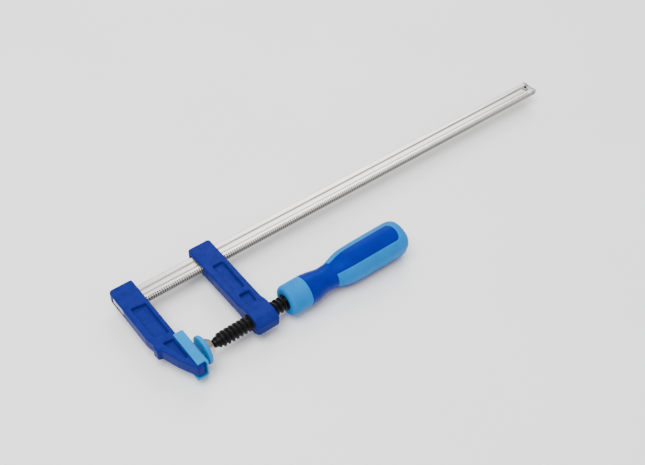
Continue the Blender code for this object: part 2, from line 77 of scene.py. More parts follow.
PIN_CHAMFER = 0.28
PIN_BEVEL = 0.35             # height of the pin's chamfer and of the hole's countersink

# Castings
CAST_STEP = 0.4              # grid step of the castings' surfaces
EDGE = 1.2                   # rounding of the castings' long edges
MOUTH_EDGE = 0.5             # rounding round the bar's slots and the screw's bore
JAW_FACE = -4.3              # the jaw's inner face, beside the land
LAND_TOP = 15.0
CAST_HALF = 4.7              # half the thickness of the arm beside its hub
POCKET_DEPTH = 2.6
POCKET_DRAFT = 0.17
POCKET_RISE = 1.0            # how far over the broad face a pocket's outline is drawn
POCKET_FILLET = 0.9
POCKET_MOUTH = 0.7
SLOT_CORNER = 0.6
BORE_RADIUS = 5.2

# Fixed pad
PAD_STEP = 0.25              # grid step of the pad's surface
PAD_WALL = 1.4
PAD_CROWN = 1.7              # rounding along the face's long edges
PAD_GAP = 0.1
UPPER_REACH = 7.0            # how far back the upper flange reaches from the face
FLANGE_END = -10.9           # where the upper flange stops, so that the jaw's tip shows

# Screw and swivel
THREAD_R = 5.0
CORE_R = 3.9
TIP_R = 2.6                  # radius where the thread starts, behind the neck
TIP_GAP = 1.3                # from the swivel plate's back to where the thread starts
LEAD = 3.0
THREAD_END = 63.4
TAPER = 5.5                  # length over which the thread rises from the tip
BALL_R = 2.6
BALL_SLACK = 0.15
NECK_R = 1.6
TANG_R = 4.0

# Handle
HANDLE_TURN = radians(11)    # how far the upper panel leans away from the bar
PANEL_ANGLES = (radians(31), radians(73))    # half angles of the upper and the lower dark panel
PANEL_ROUND = 3.5
PANEL_END = 151.5
GRIP_START = 100.0
CAP_PLACES = [158.9, 159.2, 159.45]          # more places where the end cap turns in
HANDLE_STEP = 0.9            # greatest distance between the handle's stations
COLLAR_STEP = 0.35
SKIN = 2.2                   # thickness of the soft sides
MEAN_R = 11.0                # turns an angle on the handle into a length
SEAM = 0.15                  # depth of the groove where two mouldings meet
SEAM_WIDTH = 0.32
NOSE_R = 8.0
PROFILE = np.array([         # x, half width, squareness of the section
    (63.2, 7.6, 2.0), (63.6, 8.9, 2.0), (64.6, 9.9, 2.0), (66.4, 10.4, 2.0), (72.0, 10.4, 2.0),
    (78.2, 10.4, 2.0), (83.5, 10.0, 2.0), (88.5, 9.1, 2.05), (93.5, 8.3, 2.1), (98.0, 8.4, 2.2),
    (102.5, 9.4, 2.3), (107.0, 10.7, 2.4), (112.5, 11.6, 2.5), (121.0, 11.9, 2.5),
    (132.0, 12.0, 2.5), (143.0, 12.1, 2.5), (151.0, 12.1, 2.5), (154.6, 11.6, 2.45),
    (157.0, 10.4, 2.4), (158.6, 8.2, 2.3), (159.6, 4.6, 2.2)])

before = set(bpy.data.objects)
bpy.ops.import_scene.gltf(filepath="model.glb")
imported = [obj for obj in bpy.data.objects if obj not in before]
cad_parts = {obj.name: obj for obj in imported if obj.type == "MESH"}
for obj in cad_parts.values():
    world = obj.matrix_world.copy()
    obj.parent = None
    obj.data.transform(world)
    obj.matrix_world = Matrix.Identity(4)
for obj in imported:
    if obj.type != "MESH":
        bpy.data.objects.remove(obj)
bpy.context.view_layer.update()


def box_mm(node):
    """A CAD node's low and high corner in millimetres."""
    low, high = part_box(node)
    return np.array(low) / MM, np.array(high) / MM


# ---- meshes ----

def add_object(name, data):
    made = bpy.data.objects.new(name, data)
    bpy.context.scene.collection.objects.link(made)
    return made


def add_piece(name, points, faces, body, nodes, finish, attribute=None):
    """Makes a smooth-shaded piece from millimetre points and rides it on its body.

    The attribute has a value from 0 to 1 for each point, which sets painted shade on the bar and in the
    pin's bore, and lighter crests on the screw.
    """
    mesh = bpy.data.meshes.new(name)
    mesh.from_pydata(np.asarray(points, float) * MM, [], faces)
    if attribute is not None:
        mesh.attributes.new("groove", "FLOAT", "POINT").data.foreach_set(
            "value", np.asarray(attribute, np.float32))
    bm = bmesh.new()
    bm.from_mesh(mesh)
    bmesh.ops.remove_doubles(bm, verts=bm.verts, dist=2e-7)
    bmesh.ops.dissolve_degenerate(bm, edges=bm.edges, dist=2e-7)
    bmesh.ops.recalc_face_normals(bm, faces=bm.faces)
    bm.to_mesh(mesh)
    bm.free()
    mesh.shade_smooth()
    mesh.set_sharp_from_angle(angle=SHARP)
    mesh.materials.append(finish)
    piece = add_object(name, mesh)
    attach(piece, body)
    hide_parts(*nodes)
    return piece


def grid_faces(rows, columns, wrap=True):
    """Quads of a grid whose points are numbered row by row."""
    last = columns if wrap else columns - 1
    return [(i * columns + j, i * columns + (j + 1) % columns,
             (i + 1) * columns + (j + 1) % columns, (i + 1) * columns + j)
            for i in range(rows - 1) for j in range(last)]


def end_faces(rows, columns):
    """The first and the last row of a grid as one face each."""
    return [tuple(range(columns)), tuple(range((rows - 1) * columns, rows * columns))]


def lathe(profile, sides=96):
    """Points and faces of a closed (x, r) profile spun about the X axis."""
    points = []
    for k in range(sides):
        angle = tau * k / sides
        points += [(x, r * cos(angle), r * sin(angle)) for x, r in profile]
    count = len(profile)
    faces = []
    for k in range(sides):
        j = (k + 1) % sides
        for i in range(count):
            n = (i + 1) % count
            if profile[i][1] > 0 or profile[n][1] > 0:
                faces.append((k * count + i, k * count + n, j * count + n, j * count + i))
    return points, faces


def rounded(corners, steps=8):
    """Closed outline from (x, y, radius) corners, with an arc at each corner with a radius."""
    outline = []
    for i, (x, y, radius) in enumerate(corners):
        here = Vector((x, y))
        if radius <= 0:
            outline.append((x, y))
            continue
        before = (Vector(corners[i - 1][:2]) - here).normalized()
        after = (Vector(corners[(i + 1) % len(corners)][:2]) - here).normalized()
        half = before.angle(after) / 2
        centre = here + (before + after).normalized() * (radius / sin(half))
        reach = radius * cos(half) / sin(half)
        start = here + before * reach - centre
        end = here + after * reach - centre
        for k in range(steps + 1):
            spoke = start.lerp(end, k / steps).normalized() * radius
            outline.append(tuple(centre + spoke))
    return outline


def ease(t):
    """Smooth step from 0 to 1."""
    return t * t * (3 - 2 * t)


# ---- distance functions, negative inside ----

def outline_distance(x, y, outline):
    """Distance to a closed outline in a plane."""
    corners = np.array(outline)
    nearest = np.full(np.broadcast(x, y).shape, 1e9)
    inside = np.zeros(nearest.shape, bool)
    for (x0, y0), (x1, y1) in zip(corners, np.roll(corners, -1, axis=0)):
        along = ((x - x0) * (x1 - x0) + (y - y0) * (y1 - y0)) / ((x1 - x0) ** 2 + (y1 - y0) ** 2)
        along = np.clip(along, 0, 1)
        gap = (x - x0 - along * (x1 - x0)) ** 2 + (y - y0 - along * (y1 - y0)) ** 2
        nearest = np.minimum(nearest, gap)
        if y0 != y1:
            inside ^= ((y0 > y) != (y1 > y)) & (x < x0 + (x1 - x0) * (y - y0) / (y1 - y0))
    return np.where(inside, -1, 1) * np.sqrt(nearest)


def round_meet(a, b, radius):
    """Where both shapes are, with the edge between them rounded."""
    edge = np.hypot(np.maximum(a + radius, 0), np.maximum(b + radius, 0))
    return np.minimum(np.maximum(a, b), -radius) + edge


def cut_pocket(body, x, y, z, corners, half):
    """Takes a drafted pocket with a filleted floor out of both broad faces."""
    under = half + POCKET_RISE - np.abs(z)
    walls = outline_distance(x, y, rounded(corners)) + POCKET_DRAFT * under
    floor = under - POCKET_RISE - POCKET_DEPTH
    return round_meet(body, -round_meet(walls, floor, POCKET_FILLET), POCKET_MOUTH)


def around_bar(beside, over, slack, corner):
    """Outline in Y and Z that clears the bar on all sides; the slack is on the plain edge only."""
    low, high = box_mm("bar")
    near, far = low[1] - beside, high[1] + beside + slack
    return rounded([(near, low[2] - over, corner), (far, low[2] - over, corner),
                    (far, high[2] + over, corner), (near, high[2] + over, corner)])


def surface(distance, low, high, step):
    """Closed quads where a distance function is zero.

    Each grid cell that the surface crosses gets a point, and a few damped Newton steps then move the
    points onto the surface.
    """
    axes = [np.arange(low[a] - 2 * step, high[a] + 2.5 * step, step) for a in range(3)]
    field = distance(*np.meshgrid(*axes, indexing="ij", sparse=True))
    inside = field < 0
    shape = [n - 1 for n in inside.shape]
    filled = np.zeros(shape, int)
    for i, j, k in product((0, 1), repeat=3):
        filled += inside[i:i + shape[0], j:j + shape[1], k:k + shape[2]]
    mixed = (filled > 0) & (filled < 8)
    number = np.full(shape, -1)
    number[mixed] = np.arange(mixed.sum())
    cells = np.argwhere(mixed)
    points = np.stack([axes[a][cells[:, a]] + step / 2 for a in range(3)], axis=1)
    nudge = step * 0.05
    for _ in range(5):
        value = distance(*points.T)
        slope = np.stack([distance(*(points + nudge * np.eye(3)[a]).T)
                          - distance(*(points - nudge * np.eye(3)[a]).T) for a in range(3)], axis=1)
        slope /= 2 * nudge
        size = np.maximum((slope ** 2).sum(axis=1), 0.05)
        points -= np.clip((value / size)[:, None] * slope, -step, step) * 0.9
    faces = []
    for a in range(3):
        b, c = (a + 1) % 3, (a + 2) % 3
        first = np.moveaxis(inside, (a, b, c), (0, 1, 2))
        cell = np.moveaxis(number, (a, b, c), (0, 1, 2))
        for into in (True, False):
            hit = (first[:-1, 1:-1, 1:-1] == into) & (first[1:, 1:-1, 1:-1] != into)
            i, j, k = np.argwhere(hit).T
            quad = [cell[i, j, k], cell[i, j + 1, k], cell[i, j + 1, k + 1], cell[i, j, k + 1]]
            quad = quad if into else quad[::-1]
            faces += np.stack(quad, axis=1).tolist()
    return points, faces


# ---- materials ----

class Finish:
    """A principled material with helpers for its texture nodes. Texture sizes are in millimetres."""

    def __init__(self, name, metallic, roughness, specular=0.5, tint=(1.0, 1.0, 1.0)):
        self.material = bpy.data.materials.new(name)
        self.material.use_nodes = True
        self.tree = self.material.node_tree
        self.shader = self.tree.nodes["Principled BSDF"]
        self.shader.inputs["Metallic"].default_value = metallic
        self.shader.inputs["Roughness"].default_value = roughness
        self.shader.inputs["Specular IOR Level"].default_value = specular
        self.shader.inputs["Specular Tint"].default_value = (*tint, 1.0)
        self.place = self.node("ShaderNodeTexCoord").outputs["Object"]
        self.normal = None

    def node(self, kind, **values):
        made = self.tree.nodes.new(kind)
        for key, value in values.items():
            setattr(made, key, value)
        return made

    def link(self, output, target):
        self.tree.links.new(output, target)

    def groove(self):
        """The value from 0 to 1 that a piece has at each of its points."""
        return self.node("ShaderNodeAttribute", attribute_name="groove").outputs["Fac"]

    def noise(self, size, detail, stretch=(1, 1, 1), roughness=0.5):
        """Noise whose features are about size millimetres across."""
        mapping = self.node("ShaderNodeMapping")
        self.link(self.place, mapping.inputs["Vector"])
        mapping.inputs["Scale"].default_value = [1 / (MM * size * s) for s in stretch]
        texture = self.node("ShaderNodeTexNoise")
        texture.inputs["Scale"].default_value = 1.0
        texture.inputs["Detail"].default_value = detail
        texture.inputs["Roughness"].default_value = roughness
        self.link(mapping.outputs["Vector"], texture.inputs["Vector"])
        return texture.outputs["Fac"]

    def spread(self, value, low, high, start=0.35, end=0.65):
        """Maps a noise value onto a range."""
        ramp = self.node("ShaderNodeMapRange")
        ramp.inputs["From Min"].default_value = start
        ramp.inputs["From Max"].default_value = end
        ramp.inputs["To Min"].default_value = low
        ramp.inputs["To Max"].default_value = high
        self.link(value, ramp.inputs["Value"])
        return ramp.outputs["Result"]

    def mix(self, factor, first, second):
        """Colour between two, either of which is a colour or another node's output."""
        blend = self.node("ShaderNodeMix", data_type="RGBA")
        self.link(factor, blend.inputs["Factor"])
        for value, target in ((first, blend.inputs["A"]), (second, blend.inputs["B"])):
            if isinstance(value, tuple):
                target.default_value = (*value, 1.0)
            else:
                self.link(value, target)
        return blend.outputs["Result"]

    def colour(self, output):
        self.link(output, self.shader.inputs["Base Color"])

    def rough(self, output):
        self.link(output, self.shader.inputs["Roughness"])

    def bump(self, height, depth, strength=1.0):
        """Adds relief of a depth in millimetres; calls stack."""
        made = self.node("ShaderNodeBump")
        made.inputs["Distance"].default_value = depth * MM
        made.inputs["Strength"].default_value = strength
        self.link(height, made.inputs["Height"])
        if self.normal:
            self.link(self.normal, made.inputs["Normal"])
        self.normal = made.outputs["Normal"]
        self.link(self.normal, self.shader.inputs["Normal"])


def rolled_steel():
    """Bright zinc plate over drawn bar: streaks along the bar, with painted shade that is nearly black
    in the teeth's grooves and duller on the narrow faces and on the step down to the web.
    """
    f = Finish("rolled_steel", metallic=1.0, roughness=0.34)
    streaks = f.noise(0.55, 4, stretch=(40, 1, 1), roughness=0.6)
    bands = f.noise(1.6, 3, stretch=(60, 1, 1), roughness=0.6)
    clouds = f.noise(14, 3, stretch=(2, 1, 1))
    plate = f.mix(f.spread(streaks, 0, 1), (0.53, 0.51, 0.475), (0.74, 0.725, 0.69))
    plate = f.mix(f.spread(bands, 0, 0.5), plate, (0.50, 0.48, 0.44))
    plate = f.mix(f.spread(clouds, 0, 0.3), plate, (0.56, 0.535, 0.48))
    # painted shade from the bar's points, nearly black where it is strongest
    grooves = f.spread(f.groove(), 0, 1, start=0.05, end=0.85)
    f.colour(f.mix(grooves, plate, (0.030, 0.027, 0.023)))
    f.rough(f.spread(streaks, 0.28, 0.42))
    f.bump(streaks, 0.02)
    f.bump(f.noise(0.25, 2), 0.006)
    return f.material


def turned_steel(name, tone, roughness):
    """Plated pressing or wire: fine turning marks round the X axis, and painted shade, nearly black,
    inside the stop pin's bore.
    """
    f = Finish(name, metallic=1.0, roughness=roughness)
    marks = f.noise(0.3, 3, stretch=(0.5, 5, 5))
    dark = tuple(0.82 * c for c in tone)
    plate = f.mix(f.spread(marks, 0, 1), dark, tone)
    f.colour(f.mix(f.groove(), plate, (0.02, 0.019, 0.018)))
    f.rough(f.spread(marks, roughness - 0.06, roughness + 0.08))
    f.bump(marks, 0.012)
    return f.material


def powder_coat():
    """Blue powder coat over a rough casting, with little shine at low angles."""
    f = Finish("powder_coat", metallic=0.0, roughness=0.36, specular=0.03, tint=(0.30, 0.45, 1.0))
    peel = f.noise(0.9, 3)
    lumps = f.noise(4.5, 3)
    coat = f.mix(f.spread(lumps, 0, 1), (0.0060, 0.0118, 0.125), (0.0105, 0.0165, 0.160))
    f.colour(f.mix(f.spread(peel, 0, 0.5), coat, (0.0135, 0.0212, 0.183)))
    f.rough(f.spread(peel, 0.30, 0.42))
    f.bump(lumps, 0.10, 0.7)
    f.bump(peel, 0.05, 0.6)
    f.bump(f.noise(0.28, 2), 0.012, 0.5)
    return f.material


def black_oxide():
    """Oiled black steel, with lighter colour on the thread's crests."""
    f = Finish("black_oxide", metallic=0.0, roughness=0.38, specular=0.12)
    marks = f.noise(0.5, 3)
    steel = f.mix(f.spread(marks, 0, 1), (0.0008, 0.0008, 0.0010), (0.0024, 0.0024, 0.0027))
    crests = f.spread(f.groove(), 0, 0.8, start=0.6, end=1.0)
    f.colour(f.mix(crests, steel, (0.0060, 0.0060, 0.0066)))
    f.rough(f.spread(marks, 0.30, 0.46))
    f.bump(marks, 0.03)
    return f.material


def moulded(name, dark, light, roughness, specular, tint, grain, depth):
    """Moulded plastic or rubber: fine even grain and faint flow clouds."""
    f = Finish(name, metallic=0.0, roughness=roughness, specular=specular, tint=tint)
    clouds = f.noise(9, 2)
    pores = f.noise(grain, 2)
    f.colour(f.mix(f.spread(clouds, 0, 1), dark, light))
    f.rough(f.spread(pores, roughness - 0.05, roughness + 0.06))
    f.bump(pores, depth)
    f.bump(f.noise(2.6, 2), depth * 1.6, 0.5)
    return f.material


# ---- bar ----

def bar_section():
    """A quarter of the section, from mid thickness of an edge to mid width of a broad face.

    Each point is its distance in from the edge, its height, how deep the teeth are, and how much painted
    shade darkens the teeth's grooves there.
    """
    low, high = box_mm("bar")
    half = (high[2] - low[2]) / 2
    centre = (high[1] - low[1]) / 2
    c = BAR_CHAMFER
    flank = [(0.0, t * (half - c), 0.55, 1.0) for t in (0.0, 0.35, 0.7, 1.0)]
    arris = [(c * (1 - cos(a)), half - c * (1 - sin(a)), 0.6, 0.25)
             for a in (radians(22), radians(45), radians(68))]
    rib = [(c + t * (TOOTH_RUN - c), half, depth, dark)
           for t, depth, dark in ((0, 0.75, 0.7), (0.3, 0.8, 1), (0.7, 0.6, 1), (1.0, 0.4, 1),
                                  (1.25, 0.2, 0.9), (1.5, 0.05, 0.1), (1.7, 0, 0))]
    slope = []
    for k in range(-1, 10):
        t = min(1.0, max(0.0, k / 6))
        slope.append((WEB_RIB + WEB_SLOPE * k / 6, half - WEB_DEPTH * ease(t), 0, 0))
    return flank + arris + rib + slope + [(centre, half - WEB_DEPTH, 0, 0)]


def bar_stations(low, high):
    """Places along X, each with the share of a tooth's depth there and how far the bar draws in.

    The teeth's grooves have sloping sides and flat crests, and the bar's ends are rounded.
    """
    first = low + TEETH_START
    count = int((high - TEETH_STOP - first) / TOOTH_PITCH)
    places = [(low, 0.0, 0.35), (low + 0.12, 0.0, 0.12), (low + 0.35, 0.0, 0.0)]
    for k in range(count):
        start = first + k * TOOTH_PITCH
        fade = 1.0 - FADE * max(0.0, k / count - FADE_START) / (1 - FADE_START)
        places += [(start + share * TOOTH_PITCH, depth * fade, 0.0) for share, depth in TOOTH_SHAPE]
    places.append((first + count * TOOTH_PITCH, 0.0, 0.0))
    notch = high - NOTCH
    places += [(notch + offset, depth, 0.0)
               for offset, depth in ((-0.3, 0.0), (-0.15, 1.1), (0.15, 1.1), (0.3, 0.0))]
    places += [(high - 0.5, 0.0, 0.0), (high - 0.15, 0.0, 0.15), (high, 0.0, 0.45)]
    return places


def make_bar(finish):
    """Notched bar with a shallow web. Its edge 0 is towards the screw and has the teeth."""
    low, high = box_mm("bar")
    section = bar_section()
    loop = []
    for edge, face in ((0, 1), (1, 1), (1, -1), (0, -1)):
        run = section if (edge == 0) == (face == 1) else section[::-1]
        loop += [(edge, face, *point) for point in run]
    near_face = 1.3              # heights over this move with the broad face
    near_edge = 1.0              # insets under this move with the narrow face
    band_start, band_width = WEB_RIB - 0.3, WEB_SLOPE + 1.2
    points = []
    darkness = []
    places = bar_stations(low[0], high[0])
    for x, tooth, draw in places:
        for edge, face, inset, z, depth, dark in loop:
            cut = 0.0 if edge else TOOTH_DEPTH * tooth * depth
            inward = inset + cut * max(0.25, 1 - inset / BAR_CHAMFER) + draw * (inset < near_edge)
            y = high[1] - inward if edge else low[1] + inward
            down = draw + cut * min(1.0, inset / BAR_CHAMFER)
            points.append((x, y, face * (z - down * (z > near_face))))
            # painted shade: a band on the step down to the web, the narrow faces and the teeth's grooves
            # are darkened
            step_shade = sin(pi * np.clip((inset - band_start) / band_width, 0, 1)) * WEB_SHADE[edge]
            flank = FLANK_SHADE * (inset == 0)
            darkness.append(max(step_shade, flank, 0.0 if edge else tooth * dark))
    faces = grid_faces(len(places), len(loop)) + end_faces(len(places), len(loop))
    bar = add_piece("bar_steel", points, faces, "frame", ["bar"], finish, darkness)
    drill(bar)


def drill(bar):
    """Cuts the stop pin's hole, with a small countersink."""
    low, high = box_mm("bar_stop_pin")
    middle = (low + high) / 2
    radius = (high[0] - low[0]) / 2 + FIT
    wide = radius + PIN_BEVEL
    top = box_mm("bar")[1][2] - WEB_DEPTH
    beyond = 6.0
    levels = [(-beyond, wide), (-top + 0.05, wide), (-top + PIN_BEVEL, radius),
              (top - PIN_BEVEL, radius), (top - 0.05, wide), (beyond, wide)]
    sides = 40
    points = [(middle[0] + r * cos(tau * k / sides), middle[1] + r * sin(tau * k / sides), z)
              for z, r in levels for k in range(sides)]
    faces = grid_faces(len(levels), sides) + end_faces(len(levels), sides)
    mesh = bpy.data.meshes.new("drill")
    mesh.from_pydata(np.array(points) * MM, [], faces)
    tool = add_object("drill", mesh)
    step = bar.modifiers.new("drill", "BOOLEAN")
    step.operation = "DIFFERENCE"
    step.solver = "EXACT"
    step.object = tool
    bpy.context.view_layer.update()
    cut = bpy.data.meshes.new_from_object(bar.evaluated_get(bpy.context.evaluated_depsgraph_get()))
    bar.modifiers.clear()
    bar.data = cut
    bpy.data.objects.remove(tool, do_unlink=True)


def make_stop_pin(finish):
    """Slotted spring pin: a rolled tube with chamfered ends and an open seam."""
    low, high = box_mm("bar_stop_pin")
    middle = (low + high) / 2
    radius = (high[0] - low[0]) / 2
    half = (high[2] - low[2]) / 2
    sides = 40
    levels = [(-half, PIN_CHAMFER), (-half + PIN_BEVEL, 0.0), (half - PIN_BEVEL, 0.0),
              (half, PIN_CHAMFER)]
    points = []
    inside = []
    for z, chamfer in levels:
        for r, bore, turns in ((radius - chamfer, 0.0, range(sides + 1)),
                               (radius - PIN_WALL, 1.0, range(sides, -1, -1))):
            for k in turns:
                angle = PIN_SLIT + (tau - 2 * PIN_SLIT) * k / sides
                points.append((middle[0] + r * cos(angle), middle[1] + r * sin(angle), z))
                inside.append(bore)
    count = 2 * (sides + 1)
    faces = grid_faces(len(levels), count)
    for row in (0, len(levels) - 1):
        base = row * count
        for k in range(sides):
            faces.append((base + k, base + k + 1, base + count - 2 - k, base + count - 1 - k))
    # inside marks the bore, which the finish darkens nearly to black as painted shade
    add_piece("stop_pin_steel", points, faces, "frame", ["bar_stop_pin"], finish, inside)


# ---- castings ----

def make_fixed_jaw(finish):
    """Pocketed jaw with a lug on its outer side and a recess round the bar's end."""
    low, high = box_mm("fixed_jaw")
    outer, tip, half = low[0], low[1], high[2]
    land, back = high[0], high[1]
    outline = rounded([
        (outer, back, 2.5), (outer, 25.0, 4.0), (outer + 1.2, 18.4, 0.8), (outer + 0.1, 16.4, 1.2),
        (outer + 0.4, 11.9, 1.3), (outer + 2.9, 11.3, 1.0), (-13.9, 0.4, 9.0), (-9.5, -8.6, 2.5),
        (-7.6, tip, 1.2), (-3.6, tip, 1.0), (land, -11.4, 0.5), (land, LAND_TOP, 0),
        (JAW_FACE, LAND_TOP, 0), (JAW_FACE, back, 1.5)])
    pockets = [[(-16.9, 49.6, 1.2), (-16.5, 21.6, 1.2), (-6.9, 19.6, 1.2), (-6.7, 48.0, 1.2)],
               [(-15.0, 15.8, 1.0), (-9.6, -2.0, 0.7), (-7.6, -2.0, 0.7), (-7.6, 15.0, 1.0)]]

    slot = around_bar(0.05, 0.05, 0.0, SLOT_CORNER)
    recess = around_bar(0.7, 0.5, 0.0, 2.2)
    recess_floor = outer + 1.6

    def distance(x, y, z):
        body = round_meet(outline_distance(x, y, outline), np.abs(z) - half, EDGE)
        for corners in pockets:
            body = cut_pocket(body, x, y, z, corners, half)
        body = round_meet(body, -outline_distance(y, z, slot), MOUTH_EDGE)
        sunk = round_meet(outline_distance(y, z, recess), x - recess_floor, 0.2)
        return round_meet(body, -sunk, 0.35)

    points, faces = surface(distance, low, high, CAST_STEP)
    add_piece("fixed_jaw_casting", points, faces, "frame", ["fixed_jaw"], finish)


def make_sliding_arm(finish):
    """Pocketed arm with a slot for the bar at one end and a hub for the screw at the other."""
    low, high = box_mm("sliding_arm")
    front, end = low[0], low[1]
    rear, back = high[0], high[1]
    hub = high[2]
    lean = 0.5                   # how far the flanks draw in down to the screw's axis
    outline = rounded([
        (front, back, 2.0), (front + lean, 0.0, 0), (front + lean, end, 1.6),
        (rear - lean, end, 1.6), (rear - lean, 0.0, 0), (rear, back, 2.0)])
    side = [(end, 3.0, 1.5), (-8.2, 4.7, 2.5), (-4.6, hub, 3.5), (4.6, hub, 5.0),
            (11.5, CAST_HALF, 5.0), (back, CAST_HALF, 0)]
    side_view = rounded(side + [(y, -z, radius) for y, z, radius in side[::-1]])
    pockets = [[(41.7, 48.6, 1.6), (41.1, 22.8, 1.6), (49.3, 22.3, 1.6), (50.0, 48.4, 1.6)],
               [(41.6, 19.0, 1.2), (41.5, 8.9, 1.2), (48.7, 8.7, 1.2), (49.7, 18.8, 1.2)]]
    slot = around_bar(0.3, 0.3, 2.0, SLOT_CORNER)

    def distance(x, y, z):
        body = round_meet(outline_distance(x, y, outline), outline_distance(y, z, side_view), EDGE)
        for corners in pockets:
            body = cut_pocket(body, x, y, z, corners, CAST_HALF)
        body = round_meet(body, -outline_distance(y, z, slot), MOUTH_EDGE)
        return round_meet(body, BORE_RADIUS - np.hypot(y, z), MOUTH_EDGE)

    points, faces = surface(distance, low, high, CAST_STEP)
    add_piece("sliding_arm_casting", points, faces, "arm", ["sliding_arm"], finish)


def block(x, y, z, low, high, radius):
    """Box between two corners, with rounded edges."""
    sides = [np.maximum(low[a] - c, c - high[a]) for a, c in enumerate((x, y, z))]
    return round_meet(round_meet(sides[0], sides[1], radius), sides[2], radius)


def make_fixed_pad(finish):
    """Cap that snaps over the jaw's land; the jaw's tip shows past the upper flange."""
    low, high = box_mm("fixed_jaw_pad")
    back, bottom, half = low[0], low[1], high[2]
    face, top = high[0], high[1]
    inner = half - PAD_WALL
    wall = box_mm("fixed_jaw")[1][0] + PAD_GAP
    far = 20.0                   # well past the pad
    outline = rounded([(face, top, 0.9), (back, top, 0.5), (back, bottom, 0.5), (face, bottom, 2.6)])
    section = rounded([(face, half, PAD_CROWN), (back, half, 0.4), (back, -half, 0.4),
                       (face, -half, PAD_CROWN)])
    hollows = [((-far, bottom - far, -inner), (JAW_FACE + PAD_GAP, top + far, inner)),
               ((-far, bottom - far, -inner), (wall, LAND_TOP + PAD_GAP, inner)),
               ((-far, bottom - far, -inner), (wall, FLANGE_END, far)),
               ((-far, bottom - far, -inner), (face - UPPER_REACH, top + far, far))]

    def distance(x, y, z):
        body = round_meet(outline_distance(x, y, outline), outline_distance(x, z, section), 0.4)
        for start, end in hollows:
            body = round_meet(body, -block(x, y, z, start, end, 0.3), 0.35)
        return body

    points, faces = surface(distance, low, high, PAD_STEP)
    add_piece("fixed_pad", points, faces, "frame", ["fixed_jaw_pad"], finish)


# ---- screw and swivel ----

def thread_radius(x, angle, start):
    """Radius of the rolled thread, which tapers towards the ball and runs out at the tang."""
    ramp = np.clip((x - start) / TAPER, 0, 1)
    base = TIP_R + (CORE_R - TIP_R) * ramp
    depth = (THREAD_R - CORE_R) * np.minimum(ramp, np.clip(THREAD_END - x, 0, 1))
    steep = 0.85                 # over 0.5, so that crests and roots are flat
    lift = ease(np.clip(0.5 + steep * np.cos(tau * (x / LEAD - angle / tau)), 0, 1))
    return base + depth * lift, lift * ramp


def make_spindle(finish):
    """Ball, neck, right-hand thread and tang. The grid follows the helix, so crests stay clean."""
    low, high = box_mm("spindle")
    ball = low[0] + BALL_R
    start = box_mm("swivel_plate")[1][0] + TIP_GAP
    sides = 64
    per_turn = 18
    angles = tau * np.arange(sides + 1) / sides
    front = [(ball - BALL_R * cos(pi * k / 16), BALL_R * sin(pi * k / 16)) for k in range(13)]
    front += [(ball + sqrt(BALL_R ** 2 - NECK_R ** 2), NECK_R), (start - 0.75, NECK_R),
              (start - 0.6, NECK_R + 0.1)]
    rows = [[(x, r * cos(a), r * sin(a)) for a in angles] for x, r in front]
    bright = [[0.0] * len(angles) for _ in front]
    turns = int((THREAD_END - start) / LEAD) + 2
    for i in range(-per_turn, turns * per_turn + 1):
        x = np.clip(start + LEAD * (i / per_turn + angles / tau), start, THREAD_END)
        r, crest = thread_radius(x, angles, start)
        rows.append(np.stack([x, r * np.cos(angles), r * np.sin(angles)], axis=1).tolist())
        bright.append(crest.tolist())
    for x, r in ((THREAD_END + 0.3, TANG_R), (high[0], TANG_R), (high[0], 0.0)):
        rows.append([(x, r * cos(a), r * sin(a)) for a in angles])
        bright.append([0.0] * len(angles))
    points = [p for row in rows for p in row]
    faces = grid_faces(len(rows), len(angles), wrap=False)
    add_piece("screw", points, faces, "screw", ["spindle"], finish,
              [b for row in bright for b in row])


def make_retaining_ring(finish):
    """Round wire ring behind the ball."""
    low, high = box_mm("ball_retaining_ring")
    wire = (high[0] - low[0]) / 2
    middle = (high[0] + low[0]) / 2
    radius = high[1] - wire
    profile = [(middle + wire * cos(tau * k / 20), radius + wire * sin(tau * k / 20)) for k in range(20)]
    points, faces = lathe(profile, 72)
    add_piece("retaining_ring", points, faces, "carrier", ["ball_retaining_ring"], finish)


def make_swivel(plate_finish, pad_finish):
    """Turned socket plate, and the moulded cap over its front."""
    low, high = box_mm("swivel_plate")
    front, back, plate_r = low[0], high[0], high[1]
    pad_low, pad_high = box_mm("swivel_pad")
    face, rear, rim = pad_low[0], pad_high[0], pad_high[1]
    ball = box_mm("spindle")[0][0] + BALL_R
    socket = BALL_R + BALL_SLACK
    mouth_r, groove_r = 2.9, 3.7
    disc_end = front + 1.1
    gap = 0.06                   # between the plate and its cap
    outer = rounded([(front, 0, 0), (front, plate_r, 0.25), (disc_end, plate_r, 0.2),
                     (rear + 0.05, 7.0, 0.4), (back - 0.3, 4.5, 0.3), (back, 4.2, 0.15),
                     (back, mouth_r, 0.15), (back - 0.35, mouth_r, 0), (back - 0.45, groove_r, 0),
                     (ball + 1.2, groove_r, 0), (ball + 0.9, socket * 0.98, 0), (ball, socket, 0)], 5)
    hollow = [(ball - socket * sin(pi / 2 * k / 8), socket * cos(pi / 2 * k / 8)) for k in range(1, 8)]
    points, faces = lathe(outer + hollow + [(ball - socket, 0.0)])
    add_piece("swivel_socket", points, faces, "swivel", ["swivel_plate"], plate_finish)
    cap = rounded([(face, 0, 0), (face, rim - 0.15, 0.7), (face + 1.4, rim, 0), (rear - 0.9, rim, 1.0),
                   (rear, rim - 0.8, 0.5), (rear, plate_r - 0.3, 0.2),
                   (disc_end + gap, plate_r + gap, 0), (front - gap, plate_r + gap, 0),
                   (front - gap, 0, 0)], 6)
    points, faces = lathe(cap, 128)
    add_piece("swivel_cap", points, faces, "swivel", ["swivel_pad"], pad_finish)


# ---- handle ----

